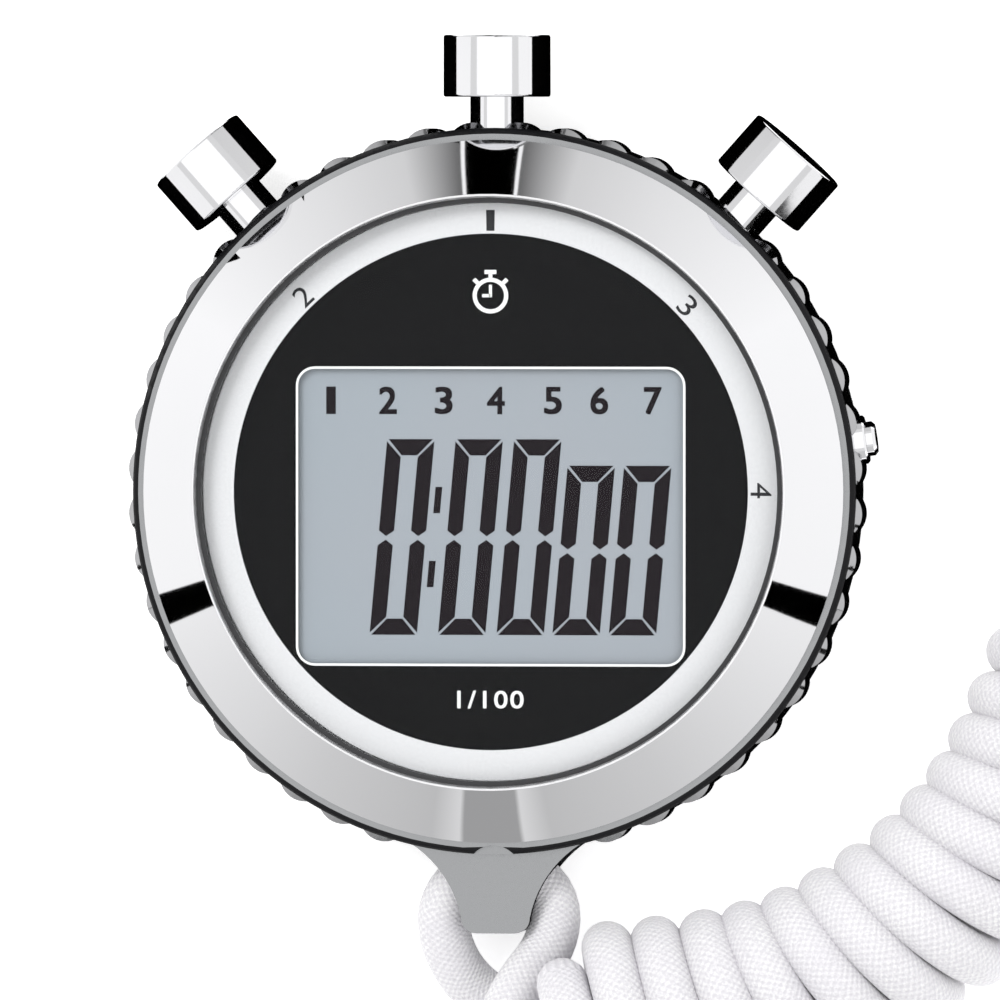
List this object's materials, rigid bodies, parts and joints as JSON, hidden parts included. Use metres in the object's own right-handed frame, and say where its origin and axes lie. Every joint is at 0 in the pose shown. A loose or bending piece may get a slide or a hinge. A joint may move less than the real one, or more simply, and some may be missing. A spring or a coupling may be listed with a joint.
{
  "type": "stopwatch",
  "caption": "Round digital pocket stopwatch in polished metal with crown pushers, a light button, an LCD dial and a white wrapped cord lanyard.",
  "frame": {"origin": "centre of the back cover's outer face, which the watch rests on", "axes": "+Z out of the dial, +Y towards 12 o'clock and the mode pusher, +X towards 3 o'clock"},
  "size_m": [0.1375, 0.0951, 0.0172],
  "materials": {
    "case_steel": "satin grip band, lug and back",
    "polished_chrome": "mirror polished",
    "satin_ring": "pale satin with black print",
    "dial_black": "gloss black print on the back of the crystal",
    "crystal": "clear flat crystal",
    "gasket_black": "matte",
    "lcd": "reflective display, grey blue",
    "backlight": "milky diffuser",
    "holder_plastic": "moulded, matte",
    "elastomer": "matte striped",
    "board_green": "solder mask",
    "chip_black": "moulded epoxy",
    "steel": "machined",
    "spring_steel": "drawn wire",
    "battery_steel": "nickel plated",
    "brass": "stamped",
    "cord_white": "braided polyester cord"
  },
  "bodies": {
    "watch": {"mid_case": "case_steel", "bezel": "polished_chrome", "lens": "crystal", "lens_gasket": "gasket_black", "label_ring": "satin_ring", "dial_mask": "dial_black", "lcd_panel": "lcd", "backlight_panel": "backlight", "display_holder": "holder_plastic", "zebra_strips": "elastomer", "circuit_board": "board_green", "controller_chip": "chip_black", "quartz_crystal": "battery_steel", "board_screws": "steel", "battery": "battery_steel", "battery_contact": "brass", "battery_cradle": "holder_plastic", "battery_strap": "spring_steel", "buzzer_disc": "brass", "buzzer_spring": "spring_steel", "back_cover": "case_steel", "back_gasket": "gasket_black", "back_screws": "steel", "lap_tube": "polished_chrome", "lap_spring": "spring_steel", "lap_o_ring": "gasket_black", "lap_contact": "spring_steel", "mode_tube": "polished_chrome", "mode_spring": "spring_steel", "mode_o_ring": "gasket_black", "mode_contact": "spring_steel", "start_tube": "polished_chrome", "start_spring": "spring_steel", "start_o_ring": "gasket_black", "start_contact": "spring_steel", "light_collar": "polished_chrome", "light_o_ring": "gasket_black", "light_spring": "spring_steel", "light_contact": "spring_steel", "lanyard_loop": "cord_white", "lanyard_wrap": "cord_white", "lanyard_neck_out": "cord_white", "lanyard_neck_back": "cord_white", "lanyard_coil": "cord_white"},
    "mode_pusher": {"mode_cap": "polished_chrome", "mode_stem": "steel", "mode_circlip": "spring_steel"},
    "lap_pusher": {"lap_cap": "polished_chrome", "lap_stem": "steel", "lap_circlip": "spring_steel"},
    "start_pusher": {"start_cap": "polished_chrome", "start_stem": "steel", "start_circlip": "spring_steel"},
    "light_pusher": {"light_button": "polished_chrome", "light_circlip": "spring_steel"}
  },
  "joints": [
    {"name": "mode_press", "type": "slide", "parent": "watch", "child": "mode_pusher", "axis": [0, -1, 0], "range_m": [0, 0.0012], "stiffness_N_per_m": 400, "springref_m": -0.001, "deforming": ["mode_spring"]},
    {"name": "lap_press", "type": "slide", "parent": "watch", "child": "lap_pusher", "axis": [0.6639, -0.7478, 0], "range_m": [0, 0.0012], "stiffness_N_per_m": 400, "springref_m": -0.001, "deforming": ["lap_spring"]},
    {"name": "start_press", "type": "slide", "parent": "watch", "child": "start_pusher", "axis": [-0.6639, -0.7478, 0], "range_m": [0, 0.0012], "stiffness_N_per_m": 400, "springref_m": -0.001, "deforming": ["start_spring"]},
    {"name": "light_press", "type": "slide", "parent": "watch", "child": "light_pusher", "axis": [-0.9903, -0.1392, 0], "range_m": [0, 0.0007], "stiffness_N_per_m": 300, "springref_m": -0.001, "deforming": ["light_spring"]}
  ]
}
